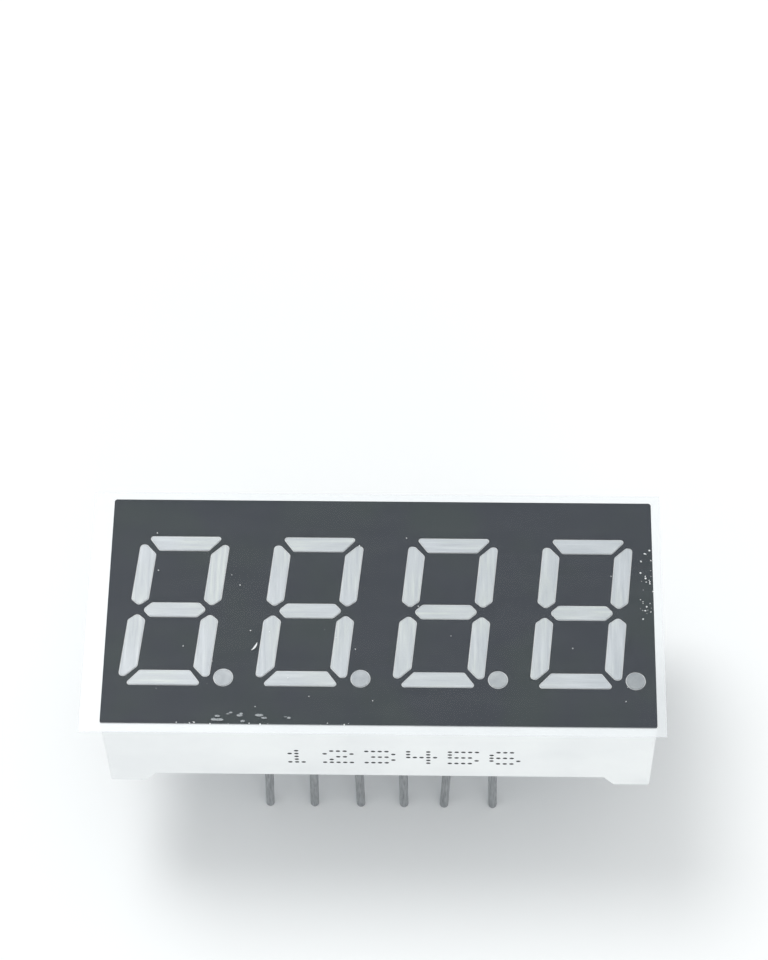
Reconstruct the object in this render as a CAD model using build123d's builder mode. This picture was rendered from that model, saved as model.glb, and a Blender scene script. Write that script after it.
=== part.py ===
from build123d import *

import math
import os

# A four-digit seven-segment LED display module, in millimetres.
#
# Origin: the centre of the pin grid on the seating plane, where the corner feet stand.
# +X runs along the row of digits in reading order, +Y towards the digits' tops, and
# +Z out of the face.

# ---------------------------------------------------------------- driving dimensions

# Housing: a moulded white reflector, open at the back
case_height = 7.2           # seating plane to the printed face
end_margin = 0.1            # last digit's cell to the end of the housing
pin_row_inset = 1.92        # row of pins to the side of the housing
skirt_wall = 0.8
cavity_corner = 0.2
corner_radius = 0.15        # upright edges
foot_height = 0.9           # the skirt's rim stands this far off the seating plane
foot_length = 2.0           # each corner foot, along either wall
foot_ramp = 0.6             # how far a foot's slope runs along the wall

# Digits
digit_count = 4
digit_pitch = 7.5
digit_lean = 5.4            # degrees, tops towards +X
digit_height = 9.22         # over the outer edges of the top and bottom bars
digit_shift = -0.125        # a digit's middle from its cell's, to make room for the point

# Upright segments, as distances from the digit's middle
column_spacing = 4.03       # between the middles of the two columns
column_width = 0.88
column_start = 0.29         # the tip beside the middle bar
column_shoulder = 0.65      # where the tip reaches full width
column_end_drop = 0.53      # from the outer edge of the bar down to the far end
column_mitre_run = 0.58     # the far end's slope, along either side

# Bars, as distances from the digit's middle
bar_width = 0.85
bar_inner_reach = 1.36      # half the length of the inner edge
bar_outer_reach = 2.06      # half the length of the outer edge, before its corners are rounded
bar_corner = 0.12
middle_bar_reach = 1.725
middle_bar_flat = 1.30      # half the length of its two straight edges
middle_bar_width = 0.84

# Decimal point, from the middle of the cell
point_diameter = 1.0
point_across = 2.74
point_rise = 0.46           # its middle over the bottom bar's outer edge

# Wells: light boxes that narrow from the face down to the board
segment_corner = 0.19
well_depth = 3.55
well_floor_length = 2.2
well_floor_width = 0.6
well_floor_corner = 0.07
point_floor_diameter = 0.8

# Printed mask and protective film, on the face
print_thickness = 0.04
print_margin = 0.05         # the print stops short of each well, so a white lip shows
film_extra_length = 1.6     # the film's size over the housing's
film_extra_width = 0.95
film_thickness = 0.08
film_shift_x = -0.3         # stuck on by hand, a little off the middle
film_shift_y = -0.05

# Circuit board and what it carries
board_thickness = 1.0
board_clearance = 0.1       # to the skirt, all round
copper_thickness = 0.05
die_size = 0.25
die_height = 0.12
die_land = 0.36
bond_land = 0.2
bond_reach = 0.42           # middle of the die to the middle of its bond land
wire_diameter = 0.05
wire_rise = 0.16            # the loop's height over the die
wire_bend = 0.08

# Pins: tinned wire, swaged thicker where they are riveted into the board
pin_pitch = 2.54
row_spacing = 10.16
pins_per_row = 6
pin_diameter = 0.5
pin_length = 7.2            # below the seating plane
shank_start_swell = 0.04    # extra diameter where the swaged stretch begins
shank_end_swell = 0.10      # and at the board's front, where it ends
pin_head_swell = 0.26       # extra diameter of the riveted head
pin_head_height = 0.22
pin_tip_round = 0.12
straight_length = 1.2       # pin below the seating plane that stays straight
pin_bend_radius = 15.0
pin_hole_clearance = 0.05
head_clearance = 0.07
pin_tip_offsets = {1: -0.17, 2: -0.11, 3: 0.05, 4: 0.02, 5: -0.19, 6: 0.10}

# Solder and potting, behind the board
solder_height = 0.5
solder_spread = 0.4         # how far the fillet reaches past the pin, on the board
solder_tip_spread = 0.15    # and at its top
potting_depth = 1.1
meniscus_height = 0.3
meniscus_width = 0.35
meniscus_round = 0.285
cone_height = 0.35          # resin drawn down round each pin
cone_spread = 0.45
cone_tip_spread = 0.12

overshoot = 1.0             # how far a cutting shape runs past what it cuts

# ---------------------------------------------------------------- derived dimensions

body_length = digit_count * digit_pitch + 2 * end_margin
body_width = row_spacing + 2 * pin_row_inset
cavity_length = body_length - 2 * skirt_wall
cavity_width = body_width - 2 * skirt_wall
film_length = body_length + film_extra_length
film_width = body_width + film_extra_width
lean_slope = math.tan(math.radians(digit_lean))
bar_outer_edge = digit_height / 2
bar_inner_edge = bar_outer_edge - bar_width
column_end = bar_outer_edge - column_end_drop
column_mitre = column_end - column_mitre_run
point_up = point_rise - bar_outer_edge

face_level = case_height
print_back = face_level - print_thickness
well_floor = face_level - well_depth
board_front = well_floor - copper_thickness
board_back = board_front - board_thickness
potting_face = board_back - potting_depth
meniscus_edge = potting_face - meniscus_height
shank_start_diameter = pin_diameter + shank_start_swell
shank_diameter = pin_diameter + shank_end_swell
pin_head_diameter = shank_diameter + pin_head_swell
pin_shoulder = foot_height

cell_centres = [(index - (digit_count - 1) / 2) * digit_pitch for index in range(digit_count)]


def pin_places():
    """Each pin's number and place: 1 upwards along the front row, then back along the rear one."""
    front = [((index - (pins_per_row - 1) / 2) * pin_pitch) for index in range(pins_per_row)]
    places = [(x, -row_spacing / 2) for x in front] + [(x, row_spacing / 2) for x in reversed(front)]
    return {number: place for number, place in enumerate(places, start=1)}


# ---------------------------------------------------------------- digits' outlines


def column_outline(side, half):
    """An upright segment: side is -1 left or 1 right, half is 1 above or -1 below the middle."""
    outer = (column_spacing + column_width) / 2
    middle = column_spacing / 2
    inner = (column_spacing - column_width) / 2
    corners = [
        (middle, column_start),
        (outer, column_shoulder),
        (outer, column_end),
        (inner + column_mitre_run, column_end),
        (inner, column_mitre),
        (inner, column_shoulder),
    ]
    return [(side * across, half * up) for across, up in corners]


def bar_outline(half):
    """The top bar (half = 1) or the bottom bar (half = -1)."""
    right = [(bar_inner_reach, bar_inner_edge), (bar_outer_reach, bar_outer_edge)]
    left = [(-across, up) for across, up in reversed(right)]
    return [(across, half * up) for across, up in right + left]


def middle_bar_outline():
    """The bar between the upper and lower columns, pointed at both ends."""
    half = middle_bar_width / 2
    right = [(middle_bar_flat, -half), (middle_bar_reach, 0), (middle_bar_flat, half)]
    left = [(-across, up) for across, up in reversed(right)]
    return right + left


segment_outlines = {
    "a": bar_outline(1),
    "b": column_outline(1, 1),
    "c": column_outline(1, -1),
    "d": bar_outline(-1),
    "e": column_outline(-1, -1),
    "f": column_outline(-1, 1),
    "g": middle_bar_outline(),
}


def mouth_corner(letter):
    """How far a segment's corners are rounded at the face."""
    return bar_corner if letter in "ad" else segment_corner


def middle_of(outline):
    """The middle of an outline's box."""
    across = [point[0] for point in outline]
    up = [point[1] for point in outline]
    return (min(across) + max(across)) / 2, (min(up) + max(up)) / 2


def floor_outline(letter):
    """A segment's outline where its well meets the board, drawn in towards its middle."""
    outline = segment_outlines[letter]
    across = [point[0] for point in outline]
    up = [point[1] for point in outline]
    lies_flat = letter in "adg"
    wanted_across = well_floor_length if lies_flat else well_floor_width
    wanted_up = well_floor_width if lies_flat else well_floor_length
    scale_across = wanted_across / (max(across) - min(across))
    scale_up = wanted_up / (max(up) - min(up))
    middle_across, middle_up = middle_of(outline)
    return [
        (middle_across + (x - middle_across) * scale_across, middle_up + (y - middle_up) * scale_up)
        for x, y in outline
    ]


def leaning(cell, point):
    """Where a point of an upright digit lies on the leaning one in the given cell."""
    across, up = point
    return cell + digit_shift + across + up * lean_slope, up


def outline_sketch(level, cell, outline, corner, margin=0):
    """A segment's leaning outline at the given height, rounded, and widened by any margin."""
    with BuildSketch(Plane.XY.offset(level)) as section:
        with BuildLine():
            Polyline(*[leaning(cell, point) for point in outline], close=True)
        make_face()
        fillet(section.vertices(), corner)
        if margin:
            offset(amount=margin)
    return section.sketch


def circle_sketch(level, diameter, *places):
    """A circle at each of the given places, all at one height."""
    with BuildSketch(Plane.XY.offset(level)) as section:
        with Locations(*places):
            Circle(diameter / 2)
    return section.sketch


def well_name(digit, letter):
    """The node that fills one well."""
    kind = "decimal_point" if letter == "dp" else f"segment_{letter}"
    return f"digit_{digit}_{kind}"


def die_places(cell, letter):
    """Where a well's die and its bond land stand on the board."""
    if letter == "dp":
        x, y = cell + point_across, point_up
        return (x, y - bond_reach / 2), (x, y + bond_reach / 2)
    middle_across, middle_up = middle_of(segment_outlines[letter])
    step = (bond_reach / 2, 0) if letter in "adg" else (0, bond_reach / 2)
    die = (middle_across - step[0], middle_up - step[1])
    land = (middle_across + step[0], middle_up + step[1])
    return leaning(cell, die), leaning(cell, land)


wells = [
    (digit, cell, letter)
    for digit, cell in enumerate(cell_centres, start=1)
    for letter in [*segment_outlines, "dp"]
]

# ---------------------------------------------------------------- shared shapes


def slab(length, width, corner, bottom, top, mode=Mode.ADD):
    """A block between two heights, with rounded upright edges, in the part being built."""
    with BuildSketch(Plane.XY.offset(bottom)) as section:
        RectangleRounded(length, width, corner)
    extrude(section.sketch, amount=top - bottom, mode=mode)


def rods(diameter, bottom, top, *places, mode=Mode.ADD):
    """Upright round bars between two heights, in the part being built."""
    extrude(circle_sketch(bottom, diameter, *places), amount=top - bottom, mode=mode)


def write(built, label):
    """Label a finished piece and write it to its own file."""
    built.part.label = label
    export_step(built.part, f"parts/{label}.step")


os.makedirs("parts", exist_ok=True)

# ---------------------------------------------------------------- pins


def pin_route(place, offset):
    """A pin's middle line from its shoulder down to its tip, bent where it was knocked."""
    x, y = place
    shoulder = (x, y, pin_shoulder)
    tip = (x + offset, y, -pin_length)
    if offset:
        FilletPolyline(shoulder, (x, y, -straight_length), tip, radius=pin_bend_radius)
    else:
        Line(shoulder, tip)


pins = {}
for number, place in pin_places().items():
    with BuildPart() as pin:
        with BuildLine() as route:
            pin_route(place, pin_tip_offsets.get(number, 0))
        sweep(circle_sketch(pin_shoulder, pin_diameter, place), path=route.wire())
        fillet(pin.edges().group_by(Axis.Z)[0], pin_tip_round)
        shank_start = circle_sketch(pin_shoulder, shank_start_diameter, place)
        shank_end = circle_sketch(well_floor, shank_diameter, place)
        loft([shank_start.face(), shank_end.face()])
        rods(pin_head_diameter, well_floor, well_floor + pin_head_height, place)
        fillet(pin.edges().group_by(Axis.Z)[-1], pin_head_height / 2)
    pins[number] = pin
    write(pin, f"pin_{number}")

# ---------------------------------------------------------------- LED dies and bond wires

die_top = well_floor + die_height
dies = {}
wires = {}
for digit, cell in enumerate(cell_centres, start=1):
    places = [die_places(cell, letter) for letter in [*segment_outlines, "dp"]]
    with BuildPart() as led_dies:
        with BuildSketch(Plane.XY.offset(well_floor)):
            with Locations(*[die for die, land in places]):
                Rectangle(die_size, die_size)
        extrude(amount=die_height)
    dies[digit] = led_dies
    write(led_dies, f"digit_{digit}_led_dies")

    with BuildPart() as bond_wires:
        for die, land in places:
            with BuildLine() as route:
                FilletPolyline(
                    (*die, die_top),
                    (*die, die_top + wire_rise),
                    (*land, die_top + wire_rise),
                    (*land, well_floor),
                    radius=wire_bend,
                )
            sweep(circle_sketch(die_top, wire_diameter, die), path=route.wire())
    wires[digit] = bond_wires
    write(bond_wires, f"digit_{digit}_bond_wires")

# ---------------------------------------------------------------- segments and decimal points

filled_wells = {}
for digit, cell, letter in wells:
    with BuildPart() as well:
        if letter == "dp":
            place = (cell + point_across, point_up)
            floor = circle_sketch(well_floor, point_floor_diameter, place)
            mouth = circle_sketch(face_level, point_diameter, place)
        else:
            floor = outline_sketch(well_floor, cell, floor_outline(letter), well_floor_corner)
            mouth = outline_sketch(face_level, cell, segment_outlines[letter], mouth_corner(letter))
        loft([floor.face(), mouth.face()], ruled=True)
    filled_wells[well_name(digit, letter)] = well

    with BuildPart() as light_plug:
        add(well.part)
        add(dies[digit].part, mode=Mode.SUBTRACT)
        add(wires[digit].part, mode=Mode.SUBTRACT)
    write(light_plug, well_name(digit, letter))

# ---------------------------------------------------------------- reflector housing

notch_length = body_length - 2 * foot_length
notch_width = body_width - 2 * foot_length


def notch_corners(opening):
    """The gap between two feet, seen from outside: wide at the seating plane, sloped ends."""
    half = opening / 2
    narrow = half - foot_ramp
    return [(-half, 0), (half, 0), (narrow, foot_height), (-narrow, foot_height)]


def window_sketch(cell, letter):
    """The opening in the print over one well."""
    if letter == "dp":
        place = (cell + point_across, point_up)
        return circle_sketch(print_back, point_diameter + 2 * print_margin, place)
    return outline_sketch(print_back, cell, segment_outlines[letter], mouth_corner(letter), print_margin)


with BuildPart() as reflector_housing:
    slab(body_length, body_width, corner_radius, 0, print_back)
    slab(cavity_length, cavity_width, cavity_corner, 0, well_floor, mode=Mode.SUBTRACT)
    for plane, opening, depth in (
        (Plane.XZ, notch_length, body_width),
        (Plane.YZ, notch_width, body_length),
    ):
        with BuildSketch(plane):
            with BuildLine():
                Polyline(*notch_corners(opening), close=True)
            make_face()
        extrude(amount=depth / 2 + overshoot, both=True, mode=Mode.SUBTRACT)
    for well in filled_wells.values():
        add(well.part, mode=Mode.SUBTRACT)
    rods(
        pin_head_diameter + 2 * head_clearance,
        well_floor,
        well_floor + pin_head_height + head_clearance,
        *pin_places().values(),
        mode=Mode.SUBTRACT,
    )
write(reflector_housing, "reflector_housing")

with BuildPart() as face_print:
    slab(body_length, body_width, corner_radius, print_back, face_level)
    for digit, cell, letter in wells:
        extrude(window_sketch(cell, letter), amount=print_thickness, mode=Mode.SUBTRACT)
write(face_print, "face_print")

with BuildPart() as protective_film:
    with BuildSketch(Plane.XY.offset(face_level)):
        with Locations((film_shift_x, film_shift_y)):
            Rectangle(film_length, film_width)
    extrude(amount=film_thickness)
write(protective_film, "protective_film")

# ---------------------------------------------------------------- circuit board

board_length = cavity_length - 2 * board_clearance
board_width = cavity_width - 2 * board_clearance
pin_hole_diameter = shank_diameter + 2 * pin_hole_clearance

with BuildPart() as circuit_board:
    slab(board_length, board_width, cavity_corner, board_back, board_front)
    rods(pin_hole_diameter, board_back, board_front, *pin_places().values(), mode=Mode.SUBTRACT)
write(circuit_board, "circuit_board")

with BuildPart() as board_copper:
    with BuildSketch(Plane.XY.offset(board_front)):
        for digit, cell, letter in wells:
            die, land = die_places(cell, letter)
            with Locations(die):
                Rectangle(die_land, die_land)
            with Locations(land):
                Rectangle(bond_land, bond_land)
        with Locations(*pin_places().values()):
            Circle(pin_head_diameter / 2)
            Circle(pin_hole_diameter / 2, mode=Mode.SUBTRACT)
    extrude(amount=copper_thickness)
write(board_copper, "board_copper")

# ---------------------------------------------------------------- solder and potting

with BuildPart() as pin_solder_joints:
    for place in pin_places().values():
        wetted = circle_sketch(board_back, shank_diameter + 2 * solder_spread, place)
        climbed = circle_sketch(board_back - solder_height, shank_diameter + 2 * solder_tip_spread, place)
        loft([wetted.face(), climbed.face()])
    for pin in pins.values():
        add(pin.part, mode=Mode.SUBTRACT)
write(pin_solder_joints, "pin_solder_joints")

with BuildPart() as back_potting:
    slab(cavity_length, cavity_width, cavity_corner, meniscus_edge, well_floor)
    with BuildPart(mode=Mode.PRIVATE) as dish:
        slab(
            cavity_length - 2 * meniscus_width,
            cavity_width - 2 * meniscus_width,
            cavity_corner,
            meniscus_edge,
            potting_face,
        )
        fillet(dish.faces().sort_by(Axis.Z)[-1].edges(), meniscus_round)
    add(dish.part, mode=Mode.SUBTRACT)
    for place in pin_places().values():
        foot = circle_sketch(potting_face, shank_diameter + 2 * cone_spread, place)
        tip = circle_sketch(potting_face - cone_height, shank_diameter + 2 * cone_tip_spread, place)
        loft([foot.face(), tip.face()])
    slab(board_length, board_width, cavity_corner, board_back, well_floor, mode=Mode.SUBTRACT)
    for pin in pins.values():
        add(pin.part, mode=Mode.SUBTRACT)
    add(pin_solder_joints.part, mode=Mode.SUBTRACT)
write(back_potting, "back_potting")
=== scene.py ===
"""Looks of a four-digit seven-segment LED display module, laid out as an add-on and run as a script."""

import math
import random

import bmesh
import bpy
from mathutils import Matrix, Vector


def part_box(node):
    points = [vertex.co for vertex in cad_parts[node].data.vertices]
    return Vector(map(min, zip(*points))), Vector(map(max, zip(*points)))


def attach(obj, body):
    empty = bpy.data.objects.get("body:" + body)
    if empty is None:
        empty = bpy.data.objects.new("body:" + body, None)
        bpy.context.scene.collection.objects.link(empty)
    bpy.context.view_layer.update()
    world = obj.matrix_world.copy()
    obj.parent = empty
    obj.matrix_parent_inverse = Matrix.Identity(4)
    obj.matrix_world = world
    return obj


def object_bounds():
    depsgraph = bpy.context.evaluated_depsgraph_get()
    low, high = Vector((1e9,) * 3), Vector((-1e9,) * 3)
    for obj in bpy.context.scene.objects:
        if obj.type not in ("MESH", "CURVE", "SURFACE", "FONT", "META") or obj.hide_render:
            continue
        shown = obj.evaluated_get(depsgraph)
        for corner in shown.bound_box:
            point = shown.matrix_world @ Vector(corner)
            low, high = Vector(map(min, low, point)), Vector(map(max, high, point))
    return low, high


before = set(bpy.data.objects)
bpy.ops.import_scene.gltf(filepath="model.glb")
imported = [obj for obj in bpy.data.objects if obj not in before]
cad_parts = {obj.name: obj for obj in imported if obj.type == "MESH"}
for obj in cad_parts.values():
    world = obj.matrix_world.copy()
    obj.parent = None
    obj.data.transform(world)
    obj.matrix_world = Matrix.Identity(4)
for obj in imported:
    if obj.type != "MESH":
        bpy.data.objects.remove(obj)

bl_info = {
    "name": "Seven-segment display module",
    "version": (1, 0, 0),
    "blender": (4, 5, 0),
    "location": "3D View > Sidebar > Display",
    "description": "Finishes and small surface pieces of a seven-segment LED display module",
    "category": "Object",
}

MM = 0.001
ROOT = "root"
DIGITS = range(1, 5)
PINS = range(1, 13)
DIGIT_LEAN = math.radians(5.4)

# Smallest and largest radius of a flake of dust, of a fleck and of a chip
SPECK_RADII = (0.02 * MM, 0.05 * MM)
FLECK_RADII = (0.02 * MM, 0.07 * MM)
CHIP_RADII = (0.02 * MM, 0.06 * MM)

# The stage, in metres: where each lamp hangs and how wide it is, and half the floor's side
KEY_PLACE = Vector((-0.14, 0.15, 0.45))
KEY_WIDTH = 0.24
FILL_PLACE = Vector((0.16, -0.44, 0.13))
FILL_WIDTH = 0.3
FLOOR_REACH = 1.5

cad_bounds = [list(corner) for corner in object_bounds()]
film_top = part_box("protective_film")[1][2]
housing_low, housing_high = [Vector(corner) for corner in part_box("reflector_housing")]
print_low, print_high = [Vector(corner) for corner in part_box("face_print")]


# ---------------------------------------------------------------- sizes and colours to change


class DisplayFinish(bpy.types.PropertyGroup):
    """Colours of the module's materials."""

    housing: bpy.props.StringProperty(
        name="Housing", description="White moulded housing, sRGB hex", default="#E6E9EA")
    ink: bpy.props.StringProperty(
        name="Face ink", description="Printed face, sRGB hex", default="#2B3139")
    ink_patch: bpy.props.StringProperty(
        name="Face ink, patches", description="Printed face where it lies thin, sRGB hex", default="#2D3638")
    resin: bpy.props.StringProperty(
        name="Segment resin", description="Milky epoxy of the segments, sRGB hex", default="#C9CFD3")
    resin_streak: bpy.props.StringProperty(
        name="Segment streaks", description="Darker streaks in the segments, sRGB hex", default="#B3BABF")
    potting: bpy.props.StringProperty(
        name="Potting", description="Poured epoxy at the back, sRGB hex", default="#6E7680")
    tin: bpy.props.StringProperty(
        name="Tin", description="Dull tin on the pins, sRGB hex", default="#B8BBBD")
    film_haze: bpy.props.FloatProperty(
        name="Film haze", description="How much of the light the film stops", default=0.022,
        min=0.0, max=1.0, subtype="FACTOR")
    # Painted light: extra white opacity where the film stands past the housing, so that band reads bright
    # over the shaded floor.
    overhang_painted_light: bpy.props.FloatProperty(
        name="Overhang painted light", description="Extra haze where the film stands past the housing", default=0.3,
        min=0.0, max=1.0, subtype="FACTOR")


class PrintedNumbers(bpy.types.PropertyGroup):
    """Dotted pin numbers on the front wall."""

    dot: bpy.props.FloatProperty(
        name="Dot", description="Height of one printed dot", default=0.19 * MM, unit="LENGTH")
    stretch: bpy.props.FloatProperty(
        name="Stretch", description="A dot's width for its height", default=1.35, min=1.0)
    step_across: bpy.props.FloatProperty(
        name="Step across", description="Between dots along the wall", default=0.37 * MM, unit="LENGTH")
    step_up: bpy.props.FloatProperty(
        name="Step up", description="Between rows of dots", default=0.36 * MM, unit="LENGTH")
    pitch: bpy.props.FloatProperty(
        name="Pitch", description="Between the middles of two numbers", default=2.3 * MM, unit="LENGTH")
    middle_x: bpy.props.FloatProperty(
        name="Middle", description="Middle of the row of numbers", default=1.2 * MM, unit="LENGTH")
    middle_z: bpy.props.FloatProperty(
        name="Height", description="Middle of the numbers above the seating plane", default=3.25 * MM,
        unit="LENGTH")
    ink_thickness: bpy.props.FloatProperty(
        name="Ink", description="Thickness of the printed dots", default=0.012 * MM, unit="LENGTH")


class FilmWear(bpy.types.PropertyGroup):
    """Marks and dust on the film and the printed face."""

    seed: bpy.props.IntProperty(name="Seed", description="Chooses where the dust lies", default=7)
    specks: bpy.props.IntProperty(
        name="Specks", description="Dust specks over the whole face", default=26, min=0)
    edge_flecks: bpy.props.IntProperty(
        name="Edge flecks", description="White flecks beside the right edge", default=30, min=0)
    chips: bpy.props.IntProperty(
        name="Chips", description="White chips in the ink along the front edge", default=14, min=0)
    bubbles: bpy.props.IntProperty(
        name="Bubbles", description="Air bubbles under the film", default=12, min=0)
    scratch_length: bpy.props.FloatProperty(
        name="Scratch", description="Length of the curved scratch", default=0.62 * MM, unit="LENGTH")


class StageSettings(bpy.types.PropertyGroup):
    """Floor, light and camera."""

    target: bpy.props.FloatVectorProperty(
        name="Target", description="Point on the seating plane that the camera looks at",
        default=(-0.09 * MM, 12.62 * MM, 0.0), subtype="TRANSLATION", unit="LENGTH")
    distance: bpy.props.FloatProperty(
        name="Distance", description="Camera to target", default=182.9 * MM, unit="LENGTH")
    azimuth: bpy.props.FloatProperty(
        name="Azimuth", description="Camera's turn about the upright axis", default=math.radians(2.16),
        subtype="ANGLE", unit="ROTATION")
    elevation: bpy.props.FloatProperty(
        name="Elevation", description="Camera's height angle", default=math.radians(59.65),
        subtype="ANGLE", unit="ROTATION")
    roll: bpy.props.FloatProperty(
        name="Roll", description="Camera's turn about its own axis", default=math.radians(-1.40),
        subtype="ANGLE", unit="ROTATION")
    lens: bpy.props.FloatProperty(
        name="Lens", description="Focal length in millimetres, on a 36 mm sensor", default=115.65)
    sky: bpy.props.FloatProperty(
        name="Sky", description="Light from all round", default=0.74, min=0.0)
    key: bpy.props.FloatProperty(
        name="Key", description="Power of the large lamp in watts", default=0.85, min=0.0)
    fill: bpy.props.FloatProperty(
        name="Fill", description="Power of the front lamp in watts", default=0.42, min=0.0)
    floor: bpy.props.StringProperty(
        name="Floor", description="Floor paper, sRGB hex", default="#F9FBFB")


# ---------------------------------------------------------------- shared helpers


def linear(hex_colour):
    """A linear RGBA colour from an sRGB hex value."""
    values = [int(hex_colour[place:place + 2], 16) / 255 for place in (1, 3, 5)]
    return (*[v / 12.92 if v <= 0.04045 else ((v + 0.055) / 1.055) ** 2.4 for v in values], 1.0)


def add_node(tree, kind, inputs=None, **settings):
    """Add a node, set its settings, and link or set its inputs."""
    node = tree.nodes.new(kind)
    for name, value in settings.items():
        setattr(node, name, value)
    for name, value in (inputs or {}).items():
        if isinstance(value, bpy.types.NodeSocket):
            tree.links.new(value, node.inputs[name])
        else:
            node.inputs[name].default_value = value
    return node


def new_material(name):
    """An empty node material with its output node."""
    material = bpy.data.materials.new(name)
    material.use_nodes = True
    material.node_tree.nodes.clear()
    output = add_node(material.node_tree, "ShaderNodeOutputMaterial")
    return material, material.node_tree, output


def object_coordinates(tree, stretch=(1.0, 1.0, 1.0), turn=(0.0, 0.0, 0.0)):
    """Object coordinates in millimetres, stretched or turned for a pattern."""
    coordinates = add_node(tree, "ShaderNodeTexCoord")
    scale = [factor / MM for factor in stretch]
    return add_node(tree, "ShaderNodeMapping", {
        "Vector": coordinates.outputs["Object"], "Scale": scale, "Rotation": turn}).outputs["Vector"]


def noise(tree, vector, size, detail=3.0, roughness=0.5):
    """A noise whose patches are about size millimetres across."""
    return add_node(tree, "ShaderNodeTexNoise", {
        "Vector": vector, "Scale": 1.0 / size, "Detail": detail, "Roughness": roughness}).outputs["Fac"]


def ramp(tree, factor, low, high, start=0.0, end=1.0):
    """A factor's range from low to high, moved to start and end."""
    return add_node(tree, "ShaderNodeMapRange", {
        "Value": factor, "From Min": low, "From Max": high, "To Min": start, "To Max": end,
    }).outputs["Result"]


def blend_colours(tree, factor, first, second):
    """Two colours blended by a factor; either may be a socket."""
    node = add_node(tree, "ShaderNodeMix", {"Factor": factor}, data_type="RGBA")
    for socket, value in ((node.inputs[6], first), (node.inputs[7], second)):
        if isinstance(value, bpy.types.NodeSocket):
            tree.links.new(value, socket)
        else:
            socket.default_value = value
    return node.outputs[2]


def bump(tree, height, depth):
    """A bump whose full height is depth millimetres."""
    return add_node(tree, "ShaderNodeBump", {
        "Height": height, "Strength": 1.0, "Distance": depth * MM}).outputs["Normal"]


def surface(tree, output, inputs):
    """A Principled surface wired to the output."""
    shader = add_node(tree, "ShaderNodeBsdfPrincipled", inputs)
    tree.links.new(shader.outputs["BSDF"], output.inputs["Surface"])
    return shader


def assign(material, *names):
    """Give CAD nodes their finish, in every material slot they have."""
    for name in names:
        mesh = bpy.data.objects[name].data
        for index in range(max(1, len(mesh.materials))):
            if index < len(mesh.materials):
                mesh.materials[index] = material
            else:
                mesh.materials.append(material)


def finish_piece(shape, name, material):
    """Turn a bmesh into a finished piece that rides with the module."""
    bmesh.ops.recalc_face_normals(shape, faces=shape.faces)
    mesh = bpy.data.meshes.new(name)
    shape.to_mesh(mesh)
    shape.free()
    mesh.materials.append(material)
    piece = bpy.data.objects.new(name, mesh)
    bpy.context.scene.collection.objects.link(piece)
    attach(piece, ROOT)
    return piece


# ---------------------------------------------------------------- materials


def moulded_white_plastic(finish):
    """Injection-moulded white polycarbonate: satin, very slightly uneven, with a fine spark-eroded grain."""
    material, tree, output = new_material("white_polycarbonate_moulded")
    place = object_coordinates(tree)
    cloud = ramp(tree, noise(tree, place, 5.0), 0.35, 0.65)
    colour = blend_colours(tree, cloud, linear(finish.housing), linear("#EEF1F1"))
    grain = noise(tree, place, 0.12, detail=2.0)
    sheen = ramp(tree, noise(tree, place, 1.8), 0.3, 0.7, 0.36, 0.46)
    surface(tree, output, {
        "Base Color": colour, "Roughness": sheen, "IOR": 1.58,
        "Normal": bump(tree, grain, 0.004)})
    return material


def screen_ink(finish):
    """Screen-printed epoxy ink, dark grey: matt, with broad blue and green patches and a very faint grain."""
    material, tree, output = new_material("grey_screen_ink")
    place = object_coordinates(tree)
    patches = ramp(tree, noise(tree, place, 4.5, detail=2.0), 0.42, 0.62)
    colour = blend_colours(tree, patches, linear(finish.ink), linear(finish.ink_patch))
    grain = noise(tree, place, 0.09, detail=2.0)
    speckled = blend_colours(tree, ramp(tree, grain, 0.3, 0.7, 0.0, 0.12), colour, linear("#363D44"))
    surface(tree, output, {
        "Base Color": speckled, "Roughness": ramp(tree, grain, 0.3, 0.7, 0.6, 0.7), "IOR": 1.4,
        "Normal": bump(tree, grain, 0.0003)})
    return material


def past_housing(tree):
    """1 where the film stands past the housing's edges, 0 over its face."""
    place = add_node(tree, "ShaderNodeSeparateXYZ", {
        "Vector": add_node(tree, "ShaderNodeTexCoord").outputs["Object"]})
    sides = []
    for axis, reach in (("X", housing_high.x), ("Y", housing_high.y)):
        distance = add_node(tree, "ShaderNodeMath", {0: place.outputs[axis]}, operation="ABSOLUTE")
        sides.append(add_node(tree, "ShaderNodeMath", {0: distance.outputs["Value"], 1: reach},
                              operation="GREATER_THAN").outputs["Value"])
    return add_node(tree, "ShaderNodeMath", {0: sides[0], 1: sides[1]}, operation="MAXIMUM").outputs["Value"]


def clear_film(finish):
    """Thin clear polyester film with a little haze, rubbed in long faint smears, and made whiter past the
    housing as painted light.
    """
    material, tree, output = new_material("polyester_film_clear")
    place = object_coordinates(tree, stretch=(0.25, 1.0, 1.0))
    smears = noise(tree, place, 1.2, detail=4.0, roughness=0.6)
    haze = ramp(tree, smears, 0.4, 0.75, finish.film_haze * 0.8, finish.film_haze * 1.3)
    # Painted light: past the housing the film is made whiter and less clear, so the band reads bright over
    # the shaded floor; the sum below is the film's haze plus this painted light.
    painted_overhang_light = ramp(tree, past_housing(tree), 0.0, 1.0, 0.0, finish.overhang_painted_light)
    haze = add_node(tree, "ShaderNodeMath", {0: haze, 1: painted_overhang_light}, operation="ADD").outputs["Value"]
    surface(tree, output, {
        "Base Color": linear("#F2F6F8"), "Roughness": ramp(tree, smears, 0.3, 0.7, 0.1, 0.22),
        "IOR": 1.5, "Alpha": haze})
    return material


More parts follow.
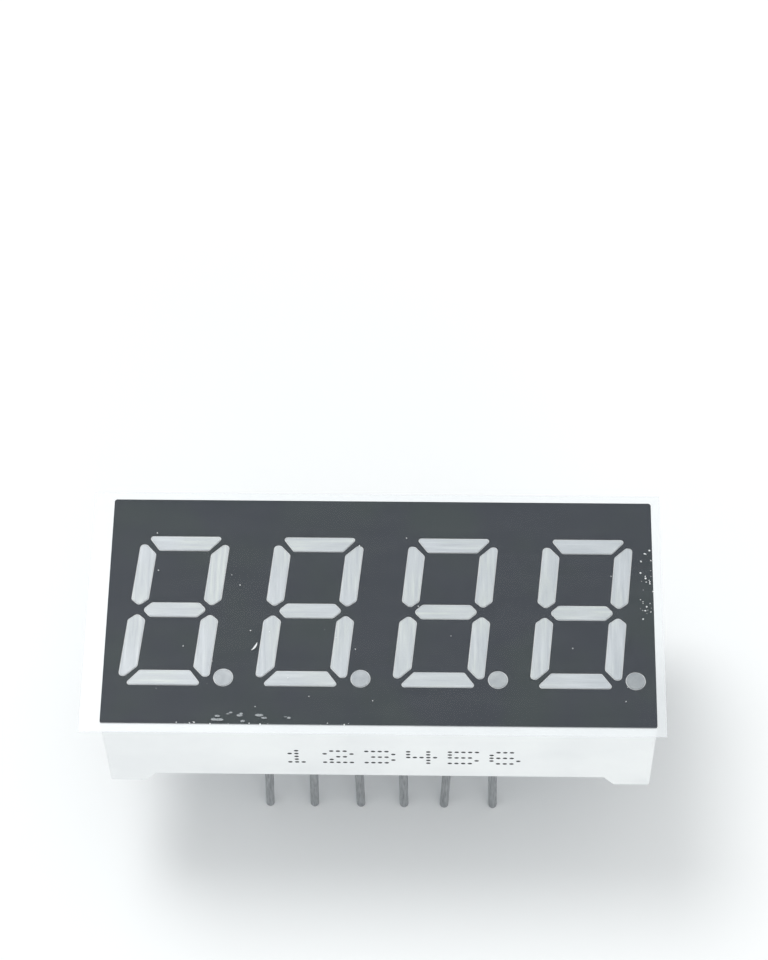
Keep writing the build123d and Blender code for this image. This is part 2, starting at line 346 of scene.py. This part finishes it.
def diffusing_resin(finish, name, stretch, turn, painted_shade=0.0):
    """Milky epoxy cast in a well: smooth, with faint streaks along it; the last argument blends it towards
    dark grey as painted shade.
    """
    material, tree, output = new_material(name)
    along = object_coordinates(tree, stretch=stretch, turn=turn)
    streaks = ramp(tree, noise(tree, along, 0.16, detail=3.0, roughness=0.6), 0.36, 0.66)
    plain = object_coordinates(tree)
    cloud = ramp(tree, noise(tree, plain, 2.6, detail=1.0), 0.38, 0.62)
    milky = blend_colours(tree, cloud, linear(finish.resin), linear("#CAD1CF"))
    streaked = blend_colours(tree, streaks, linear(finish.resin_streak), milky)
    # Painted shade: the resin is blended towards dark grey #5E656A by the last argument.
    colour = blend_colours(tree, painted_shade, streaked, linear("#5E656A"))
    surface(tree, output, {
        "Base Color": colour, "Roughness": ramp(tree, streaks, 0.0, 1.0, 0.3, 0.24), "IOR": 1.54})
    return material


def poured_epoxy(finish):
    """Poured blue-grey epoxy: glossy and cloudy, dished where it climbed the walls and the pins."""
    material, tree, output = new_material("potting_epoxy_poured")
    place = object_coordinates(tree)
    cloud = ramp(tree, noise(tree, place, 3.2, detail=3.0), 0.35, 0.68)
    colour = blend_colours(tree, cloud, linear(finish.potting), linear("#7D868E"))
    ripple = noise(tree, place, 2.2, detail=1.0)
    surface(tree, output, {
        "Base Color": colour, "Roughness": ramp(tree, cloud, 0.0, 1.0, 0.08, 0.14), "IOR": 1.54,
        "Coat Weight": 0.6, "Coat Roughness": 0.04, "Normal": bump(tree, ripple, 0.05)})
    return material


def tinned_wire(finish):
    """Tinned copper-clad steel wire, drawn: dull grey, with fine lengthwise lines and paler blotches."""
    material, tree, output = new_material("tinned_wire_drawn")
    lines = noise(tree, object_coordinates(tree, stretch=(1.0, 1.0, 0.06)), 0.06, detail=3.0)
    blotch = noise(tree, object_coordinates(tree, stretch=(1.0, 1.0, 0.4)), 0.35, detail=3.0)
    drawn = blend_colours(tree, ramp(tree, lines, 0.35, 0.65), linear("#95979A"), linear(finish.tin))
    colour = blend_colours(tree, ramp(tree, blotch, 0.52, 0.72, 0.0, 0.6), drawn, linear("#C2C4C5"))
    surface(tree, output, {
        "Base Color": colour, "Metallic": 1.0, "Roughness": ramp(tree, lines, 0.3, 0.7, 0.3, 0.48),
        "Normal": bump(tree, lines, 0.006)})
    return material


def speckled_solid(name, first, second, size, settings):
    """A two-tone material for the pieces sealed inside: patches of the given size in millimetres."""
    material, tree, output = new_material(name)
    patches = ramp(tree, noise(tree, object_coordinates(tree), size), 0.35, 0.65)
    colour = blend_colours(tree, patches, linear(first), linear(second))
    surface(tree, output, {"Base Color": colour, **settings})
    return material


def printed_dots():
    """Black marking ink, stamped in dots: nearly matt, greyer where a dot is thin."""
    return speckled_solid("marking_ink_black", "#17191B", "#2A2D30", 0.08, {"Roughness": 0.5, "IOR": 1.5})


def pale_dust():
    """Plastic dust and chips: white and matt."""
    return speckled_solid("plastic_dust_white", "#D5DADC", "#F4F6F6", 0.05, {"Roughness": 0.7, "IOR": 1.5})


def trapped_air():
    """Air under the film: a pale glint with a soft edge, half see-through."""
    return speckled_solid("trapped_air_pale", "#A9B1B5", "#C9CFD2", 0.1, {
        "Roughness": 0.2, "IOR": 1.5, "Alpha": 0.42})


# ---------------------------------------------------------------- operators


class DISPLAY_OT_finish_moulding(bpy.types.Operator):
    """Finish the housing, the printed face and the film over it"""
    bl_idname = "display.finish_moulding"
    bl_label = "Finish housing, face and film"

    def execute(self, context):
        finish = context.scene.display_finish
        assign(moulded_white_plastic(finish), "reflector_housing")
        assign(screen_ink(finish), "face_print")
        assign(clear_film(finish), "protective_film")
        return {"FINISHED"}


class DISPLAY_OT_finish_segments(bpy.types.Operator):
    """Finish the resin of the segments and decimal points, streaked along each segment, with painted shade on
    the decimal points
    """
    bl_idname = "display.finish_segments"
    bl_label = "Finish segments"

    def execute(self, context):
        finish = context.scene.display_finish
        upright = diffusing_resin(finish, "milky_epoxy_upright", (1.0, 0.05, 1.0), (0.0, 0.0, DIGIT_LEAN))
        flat = diffusing_resin(finish, "milky_epoxy_bar", (0.05, 1.0, 1.0), (0.0, 0.0, 0.0))
        # Painted shade on the decimal points: their resin is blended a third of the way to dark grey, and the
        # last point's half way.
        point = diffusing_resin(finish, "milky_epoxy_point_painted_shade", (0.4, 0.4, 1.0), (0.0, 0.0, 0.0), painted_shade=0.32)
        last_point = diffusing_resin(
            finish, "milky_epoxy_last_point_painted_shade", (0.4, 0.4, 1.0), (0.0, 0.0, 0.0), painted_shade=0.5)
        for digit in DIGITS:
            assign(upright, *[f"digit_{digit}_segment_{letter}" for letter in "bcef"])
            assign(flat, *[f"digit_{digit}_segment_{letter}" for letter in "adg"])
            assign(last_point if digit == DIGITS[-1] else point, f"digit_{digit}_decimal_point")
        return {"FINISHED"}


class DISPLAY_OT_finish_back(bpy.types.Operator):
    """Finish the pins, the solder and the poured resin at the back"""
    bl_idname = "display.finish_back"
    bl_label = "Finish pins and back"

    def execute(self, context):
        finish = context.scene.display_finish
        assign(tinned_wire(finish), *[f"pin_{number}" for number in PINS])
        assign(poured_epoxy(finish), "back_potting")
        solder = speckled_solid("solder_reflowed", "#B4B6B8", "#C9CBCC", 0.3, {
            "Metallic": 1.0, "Roughness": 0.25})
        assign(solder, "pin_solder_joints")
        return {"FINISHED"}


class DISPLAY_OT_finish_inside(bpy.types.Operator):
    """Finish the board, its lands, the dies and the bond wires sealed inside"""
    bl_idname = "display.finish_inside"
    bl_label = "Finish inner pieces"

    def execute(self, context):
        laminate = speckled_solid("glass_epoxy_laminate", "#A89A62", "#B8AB74", 0.6, {
            "Roughness": 0.5, "IOR": 1.55})
        gold = speckled_solid("gold_flashed_copper", "#C9A25B", "#D8B46C", 0.3, {
            "Metallic": 1.0, "Roughness": 0.3})
        die = speckled_solid("cut_semiconductor", "#7A4A34", "#8C5B40", 0.08, {
            "Roughness": 0.25, "IOR": 3.4})
        wire = speckled_solid("bond_wire_aluminium", "#C8C8C8", "#DADADA", 0.1, {
            "Metallic": 1.0, "Roughness": 0.2})
        assign(laminate, "circuit_board")
        assign(gold, "board_copper")
        assign(die, *[f"digit_{digit}_led_dies" for digit in DIGITS])
        assign(wire, *[f"digit_{digit}_bond_wires" for digit in DIGITS])
        return {"FINISHED"}


NUMBER_ROWS = {
    "1": ("..#..", ".##..", "..#..", "..#..", ".###."),
    "2": (".###.", "#...#", "..##.", ".#...", "#####"),
    "3": ("####.", "....#", ".###.", "....#", "####."),
    "4": ("#..#.", "#..#.", "#####", "...#.", "...#."),
    "5": ("#####", "#....", "####.", "....#", "####."),
    "6": (".###.", "#....", "####.", "#...#", ".###."),
}


class DISPLAY_OT_print_numbers(bpy.types.Operator):
    """Print the front pins' numbers on the wall above them, in stamped dots"""
    bl_idname = "display.print_numbers"
    bl_label = "Print pin numbers"

    def execute(self, context):
        sizes = context.scene.printed_numbers
        shape = bmesh.new()
        wall_y = housing_low.y - sizes.ink_thickness / 2
        first_x = sizes.middle_x - sizes.pitch * (len(NUMBER_ROWS) - 1) / 2
        upright = Matrix.Rotation(math.radians(90), 4, "X")
        face_front = Matrix.Diagonal((sizes.stretch, 1.0, 1.0, 1.0)) @ upright
        for index, rows in enumerate(NUMBER_ROWS.values()):
            for row, dots in enumerate(rows):
                for column, mark in enumerate(dots):
                    if mark != "#":
                        continue
                    x = first_x + index * sizes.pitch + (column - 2) * sizes.step_across
                    z = sizes.middle_z + (2 - row) * sizes.step_up
                    bmesh.ops.create_cone(
                        shape, cap_ends=True, segments=10, radius1=sizes.dot / 2, radius2=sizes.dot / 2 * 0.9,
                        depth=sizes.ink_thickness, matrix=Matrix.Translation((x, wall_y, z)) @ face_front)
        finish_piece(shape, "front_pin_numbers", printed_dots())
        return {"FINISHED"}


def scatter_flakes(shape, chance, count, low, high, sizes, level):
    """Small flat flakes at seeded places in a rectangle on the face."""
    for _ in range(count):
        x = chance.uniform(low[0], high[0])
        y = chance.uniform(low[1], high[1])
        size = chance.uniform(*sizes)
        turned = Matrix.Rotation(chance.uniform(0, math.pi), 4, "Z")
        squeezed = Matrix.Diagonal((1.0, chance.uniform(0.45, 1.0), 0.25, 1.0))
        place = Matrix.Translation((x, y, level + size * 0.2))
        bmesh.ops.create_icosphere(shape, subdivisions=1, radius=size, matrix=place @ turned @ squeezed)


class DISPLAY_OT_scatter_dust(bpy.types.Operator):
    """Scatter dust specks on the film, and flecks where the ink is chipped at its edges"""
    bl_idname = "display.scatter_dust"
    bl_label = "Scatter dust and flecks"

    def execute(self, context):
        wear = context.scene.film_wear
        chance = random.Random(wear.seed)
        level = film_top
        shape = bmesh.new()
        face_low = (print_low.x + MM, print_low.y + MM)
        face_high = (print_high.x - MM, print_high.y - MM)
        scatter_flakes(shape, chance, wear.specks, face_low, face_high, SPECK_RADII, level)
        right = print_high.x
        scatter_flakes(shape, chance, wear.edge_flecks, (right - 0.75 * MM, -0.4 * MM),
                       (right - 0.02 * MM, 4.0 * MM), FLECK_RADII, level)
        front = print_low.y
        scatter_flakes(shape, chance, wear.chips, (-11.5 * MM, front - 0.02 * MM),
                       (-1.5 * MM, front + 0.1 * MM), CHIP_RADII, level)
        finish_piece(shape, "dust_and_flecks", pale_dust())
        return {"FINISHED"}


class DISPLAY_OT_scratch_film(bpy.types.Operator):
    """Cut the short curved scratch beside the second digit"""
    bl_idname = "display.scratch_film"
    bl_label = "Scratch film"

    def execute(self, context):
        wear = context.scene.film_wear
        middle = Vector((-6.83 * MM, -2.3 * MM, film_top))
        radius = 0.75 * MM
        half_angle = wear.scratch_length / radius / 2
        widest = 0.055 * MM
        burr = 0.012 * MM
        shape = bmesh.new()
        bmesh.ops.create_grid(shape, x_segments=14, y_segments=2, size=1.0)
        for vertex in shape.verts:
            angle = vertex.co.x * half_angle
            width = widest * math.cos(vertex.co.x * math.pi / 2) * vertex.co.y
            lift = burr * (1 - vertex.co.y ** 2) * math.cos(vertex.co.x * math.pi / 2)
            across = radius + width
            vertex.co = Vector((across * math.cos(angle) - radius, across * math.sin(angle), lift))
        bmesh.ops.solidify(shape, geom=shape.faces[:], thickness=burr)
        bmesh.ops.rotate(shape, verts=shape.verts, matrix=Matrix.Rotation(math.radians(-32), 3, "Z"))
        bmesh.ops.translate(shape, verts=shape.verts, vec=middle)
        bmesh.ops.remove_doubles(shape, verts=shape.verts, dist=0.0005 * MM)
        finish_piece(shape, "film_scratch", pale_dust())
        return {"FINISHED"}


class DISPLAY_OT_trap_bubbles(bpy.types.Operator):
    """Trap small air bubbles under the film, near the front edge"""
    bl_idname = "display.trap_bubbles"
    bl_label = "Trap bubbles"

    def execute(self, context):
        wear = context.scene.film_wear
        chance = random.Random(wear.seed + 1)
        shape = bmesh.new()
        for _ in range(wear.bubbles):
            x = chance.uniform(-9.0 * MM, -4.6 * MM)
            y = chance.uniform(print_low.y + 0.1 * MM, print_low.y + 0.7 * MM)
            length = chance.uniform(0.08 * MM, 0.26 * MM)
            width = length * chance.uniform(0.25, 0.6)
            flattened = Matrix.Diagonal((length, width, 0.02 * MM, 1.0))
            place = Matrix.Translation((x, y, film_top))
            bmesh.ops.create_uvsphere(
                shape, u_segments=12, v_segments=6, radius=1.0, matrix=place @ flattened)
        finish_piece(shape, "film_bubbles", trapped_air())
        return {"FINISHED"}


class DISPLAY_OT_set_stage(bpy.types.Operator):
    """Lay the pale floor, light it softly and place the camera"""
    bl_idname = "display.set_stage"
    bl_label = "Set stage"

    def execute(self, context):
        stage = context.scene.stage_settings
        self.lay_floor(context, stage)
        self.light(context, stage)
        self.place_camera(context, stage)
        context.scene.view_settings.view_transform = "Standard"
        return {"FINISHED"}

    def lay_floor(self, context, stage):
        """A wide sheet of pale paper under the pins' tips."""
        shape = bmesh.new()
        bmesh.ops.create_grid(shape, x_segments=1, y_segments=1, size=FLOOR_REACH)
        bmesh.ops.translate(shape, verts=shape.verts, vec=(0.0, 0.0, cad_bounds[0][2]))
        mesh = bpy.data.meshes.new("floor")
        shape.to_mesh(mesh)
        shape.free()
        floor = bpy.data.objects.new("floor", mesh)
        context.scene.collection.objects.link(floor)
        material, tree, output = new_material("floor_paper")
        fibre = ramp(tree, noise(tree, object_coordinates(tree), 40.0), 0.3, 0.7)
        colour = blend_colours(tree, fibre, linear(stage.floor), linear("#FBFDFD"))
        surface(tree, output, {"Base Color": colour, "Roughness": 0.9, "IOR": 1.3})
        mesh.materials.append(material)

    def light(self, context, stage):
        """A bright even sky, a large lamp behind the module and a weak one before it."""
        world = bpy.data.worlds.new("soft_sky")
        world.use_nodes = True
        tree = world.node_tree
        tree.nodes.clear()
        rays = add_node(tree, "ShaderNodeLightPath")
        strength = stage.sky
        for kind in ("Is Camera Ray", "Is Glossy Ray", "Is Transmission Ray"):
            strength = add_node(tree, "ShaderNodeMath", {0: rays.outputs[kind], 1: strength},
                                operation="MAXIMUM").outputs["Value"]
        sky = add_node(tree, "ShaderNodeBackground", {"Color": linear("#FDFEFF"), "Strength": strength})
        output = add_node(tree, "ShaderNodeOutputWorld")
        tree.links.new(sky.outputs["Background"], output.inputs["Surface"])
        context.scene.world = world
        self.hang_lamp(context, "key_lamp", KEY_PLACE, KEY_WIDTH, stage.key)
        self.hang_lamp(context, "fill_lamp", FILL_PLACE, FILL_WIDTH, stage.fill)

    def hang_lamp(self, context, name, place, size, power):
        """A round soft lamp that points at the module."""
        lamp = bpy.data.lights.new(name, "AREA")
        lamp.shape = "DISK"
        lamp.size = size
        lamp.energy = power
        holder = bpy.data.objects.new(name, lamp)
        aim = (-place).to_track_quat("-Z", "Y").to_matrix().to_4x4()
        holder.matrix_world = Matrix.Translation(place) @ aim
        context.scene.collection.objects.link(holder)

    def place_camera(self, context, stage):
        """The camera above the front of the module, turned a little about its own axis."""
        flat = math.cos(stage.elevation)
        back = Vector((
            math.sin(stage.azimuth) * flat, -math.cos(stage.azimuth) * flat, math.sin(stage.elevation)))
        level_right = (-back).cross(Vector((0.0, 0.0, 1.0))).normalized()
        level_up = level_right.cross(-back)
        right = level_right * math.cos(stage.roll) + level_up * math.sin(stage.roll)
        up = level_up * math.cos(stage.roll) - level_right * math.sin(stage.roll)
        turn = Matrix((right, up, back)).transposed().to_4x4()
        camera = bpy.data.cameras.new("camera")
        camera.lens = stage.lens
        camera.sensor_width = 36.0
        camera.clip_start = 0.005
        holder = bpy.data.objects.new("camera", camera)
        holder.matrix_world = Matrix.Translation(Vector(stage.target) + back * stage.distance) @ turn
        context.scene.collection.objects.link(holder)
        context.scene.camera = holder


class DISPLAY_PT_panel(bpy.types.Panel):
    """Every step of the module's finish, in order"""
    bl_idname = "DISPLAY_PT_panel"
    bl_label = "Display module"
    bl_space_type = "VIEW_3D"
    bl_region_type = "UI"
    bl_category = "Display"

    def draw(self, context):
        for operator in OPERATORS:
            self.layout.operator(operator.bl_idname)
        for settings in SETTINGS:
            group = getattr(context.scene, settings)
            for name in group.__annotations__:
                self.layout.prop(group, name)


OPERATORS = (
    DISPLAY_OT_finish_moulding,
    DISPLAY_OT_finish_segments,
    DISPLAY_OT_finish_back,
    DISPLAY_OT_finish_inside,
    DISPLAY_OT_print_numbers,
    DISPLAY_OT_scatter_dust,
    DISPLAY_OT_scratch_film,
    DISPLAY_OT_trap_bubbles,
    DISPLAY_OT_set_stage,
)
SETTINGS = {
    "display_finish": DisplayFinish,
    "printed_numbers": PrintedNumbers,
    "film_wear": FilmWear,
    "stage_settings": StageSettings,
}


def register():
    for group in SETTINGS.values():
        bpy.utils.register_class(group)
    for name, group in SETTINGS.items():
        setattr(bpy.types.Scene, name, bpy.props.PointerProperty(type=group))
    for operator in OPERATORS:
        bpy.utils.register_class(operator)
    bpy.utils.register_class(DISPLAY_PT_panel)


def unregister():
    bpy.utils.unregister_class(DISPLAY_PT_panel)
    for operator in reversed(OPERATORS):
        bpy.utils.unregister_class(operator)
    for name, group in SETTINGS.items():
        delattr(bpy.types.Scene, name)
        bpy.utils.unregister_class(group)


def main():
    register()
    bpy.ops.display.finish_moulding()
    bpy.ops.display.finish_segments()
    bpy.ops.display.finish_back()
    bpy.ops.display.finish_inside()
    bpy.ops.display.print_numbers()
    bpy.ops.display.scatter_dust()
    bpy.ops.display.scratch_film()
    bpy.ops.display.trap_bubbles()
    bpy.ops.display.set_stage()


if __name__ == "__main__":
    main()
